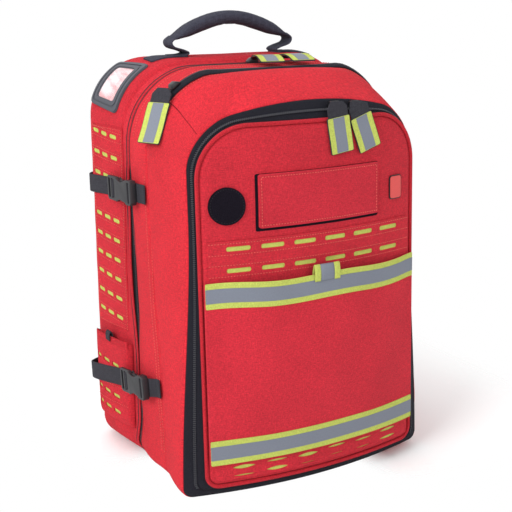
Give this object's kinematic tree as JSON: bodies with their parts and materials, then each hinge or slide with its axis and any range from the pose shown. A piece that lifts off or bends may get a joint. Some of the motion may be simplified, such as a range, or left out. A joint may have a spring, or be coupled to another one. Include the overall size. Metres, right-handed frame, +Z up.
{
  "type": "trauma backpack",
  "caption": "Padded medical backpack that folds open in three sections, with a zipped front lid, slip pockets, buckled compression straps, a carrying handle and a shoulder harness.",
  "frame": {"origin": "on the floor under the pack, on the underside of the middle section's base panel", "axes": "+Z up, -Y out of the front lid, +Y towards the wearer's back, +X the viewer's right"},
  "size_m": [0.3644, 0.3433, 0.5405],
  "materials": {
    "red_fabric": "coated woven, satin",
    "red_piping": "folded binding",
    "black_fabric": "matt mesh over foam",
    "black_webbing": "woven ribbed",
    "zip_tape": "knitted tape with coil",
    "base_rubber": "coated, matt",
    "buckle_plastic": "moulded, satin",
    "zip_metal": "black enamel",
    "reflective_tape": "retroreflective film with lime edges",
    "reflective_pull": "lime tape with a reflective stripe",
    "window_frame": "grey coated, matt",
    "window_film": "clear soft vinyl",
    "frame_plastic": "sheet",
    "divider_fabric": "padded lining"
  },
  "bodies": {
    "rear_section": {"rear_gusset": "red_fabric", "back_panel": "black_fabric", "frame_sheet": "frame_plastic", "back_pad": "black_fabric", "shoulder_strap_left": "black_fabric", "shoulder_strap_right": "black_fabric", "shoulder_webbing_left": "black_webbing", "shoulder_webbing_right": "black_webbing", "strap_adjuster_left": "buckle_plastic", "strap_adjuster_right": "buckle_plastic", "id_window_frame": "window_frame", "id_window_film": "window_film", "side_molle_left": "red_fabric", "side_molle_right": "red_fabric", "side_pocket_left": "red_fabric", "side_pocket_right": "red_fabric", "comp_strap_rear_upper_left": "black_webbing", "comp_strap_rear_upper_right": "black_webbing", "comp_strap_rear_lower_left": "black_webbing", "comp_strap_rear_lower_right": "black_webbing", "buckle_male_upper_left": "buckle_plastic", "buckle_male_upper_right": "buckle_plastic", "buckle_male_lower_left": "buckle_plastic", "buckle_male_lower_right": "buckle_plastic", "main_zip_tape_rear": "zip_tape", "handle_webbing": "black_webbing", "base_panel_rear": "base_rubber"},
    "handle": {"handle_grip": "black_fabric"},
    "main_section": {"main_gusset": "red_fabric", "mid_wall": "divider_fabric", "main_zip_tape_front": "zip_tape", "comp_strap_front_upper_left": "black_webbing", "comp_strap_front_upper_right": "black_webbing", "comp_strap_front_lower_left": "black_webbing", "comp_strap_front_lower_right": "black_webbing", "buckle_female_upper_left": "buckle_plastic", "buckle_female_upper_right": "buckle_plastic", "buckle_female_lower_left": "buckle_plastic", "buckle_female_lower_right": "buckle_plastic", "front_zip_tape_bag": "zip_tape", "top_zip_tape": "zip_tape", "base_panel_main": "base_rubber"},
    "front_lid": {"lid_panel": "red_fabric", "lid_piping": "red_piping", "front_zip_tape_lid": "zip_tape", "front_molle_panel": "red_fabric", "front_pocket": "red_fabric", "tape_upper": "reflective_tape", "tape_lower": "reflective_tape"},
    "name_flap": {"name_panel": "red_fabric"},
    "front_slider_a": {"front_zip_slider_a": "zip_metal"},
    "front_slider_b": {"front_zip_slider_b": "zip_metal"},
    "front_pull_a": {"front_zip_tab_a": "reflective_pull"},
    "front_pull_b": {"front_zip_tab_b": "reflective_pull"},
    "main_slider_a": {"main_zip_slider_a": "zip_metal"},
    "main_slider_b": {"main_zip_slider_b": "zip_metal"},
    "main_pull_a": {"main_zip_tab_a": "reflective_pull"},
    "main_pull_b": {"main_zip_tab_b": "reflective_pull"},
    "top_slider": {"top_zip_slider": "zip_metal"},
    "top_pull": {"top_zip_tab": "reflective_pull"}
  },
  "joints": [
    {"name": "main_fold", "type": "hinge", "parent": "rear_section", "child": "main_section", "pos_m": [0, 0.035, 0], "axis": [1, 0, 0], "range_deg": [0, 165]},
    {"name": "lid_fold", "type": "hinge", "parent": "main_section", "child": "front_lid", "pos_m": [0, -0.13201, 0.01675], "axis": [1, 0, 0], "range_deg": [0, 90]},
    {"name": "name_lift", "type": "hinge", "parent": "front_lid", "child": "name_flap", "pos_m": [0, -0.12711, 0.376], "axis": [-1, 0, 0], "range_deg": [0, 85]},
    {"name": "handle_tip", "type": "hinge", "parent": "rear_section", "child": "handle", "pos_m": [0, 0.08, 0.4955], "axis": [1, 0, 0], "range_deg": [-25, 25], "stiffness_Nm_per_rad": 0.1},
    {"name": "front_zip_run_a", "type": "slide", "parent": "front_lid", "child": "front_slider_a", "axis": [-0.9991, -0.0381, 0.0162], "range_m": [0, 0.04]},
    {"name": "front_zip_run_b", "type": "slide", "parent": "front_lid", "child": "front_slider_b", "axis": [0.993, 0.0863, -0.0804], "range_m": [0, 0.03]},
    {"name": "front_pull_swing_a", "type": "hinge", "parent": "front_slider_a", "child": "front_pull_a", "pos_m": [0.0215, -0.1261, 0.44786], "axis": [-1, 0, 0], "range_deg": [0, 120]},
    {"name": "front_pull_swing_b", "type": "hinge", "parent": "front_slider_b", "child": "front_pull_b", "pos_m": [0.05, -0.12433, 0.44638], "axis": [-1, 0, 0], "range_deg": [0, 120]},
    {"name": "main_zip_run_a", "type": "slide", "parent": "main_section", "child": "main_slider_a", "axis": [-1, 0, 0], "range_m": [0, 0.05]},
    {"name": "main_zip_run_b", "type": "slide", "parent": "main_section", "child": "main_slider_b", "axis": [1, 0, 0], "range_m": [0, 0.03]},
    {"name": "main_pull_swing_a", "type": "hinge", "parent": "main_slider_a", "child": "main_pull_a", "pos_m": [0.012, 0.0255, 0.4855], "axis": [-0.9703, 0.2419, 0], "range_deg": [0, 120]},
    {"name": "main_pull_swing_b", "type": "hinge", "parent": "main_slider_b", "child": "main_pull_b", "pos_m": [0.046, 0.0255, 0.4855], "axis": [-0.9945, 0.1045, 0], "range_deg": [0, 120]},
    {"name": "top_zip_run", "type": "hinge", "parent": "main_section", "child": "top_slider", "pos_m": [-0.068, -0.02517, 0.388], "axis": [0, 1, 0], "range_deg": [0, 36]},
    {"name": "top_pull_swing", "type": "hinge", "parent": "top_slider", "child": "top_pull", "pos_m": [-0.13999, -0.02517, 0.46244], "axis": [-0.455, 0.8905, 0], "range_deg": [0, 100]}
  ]
}
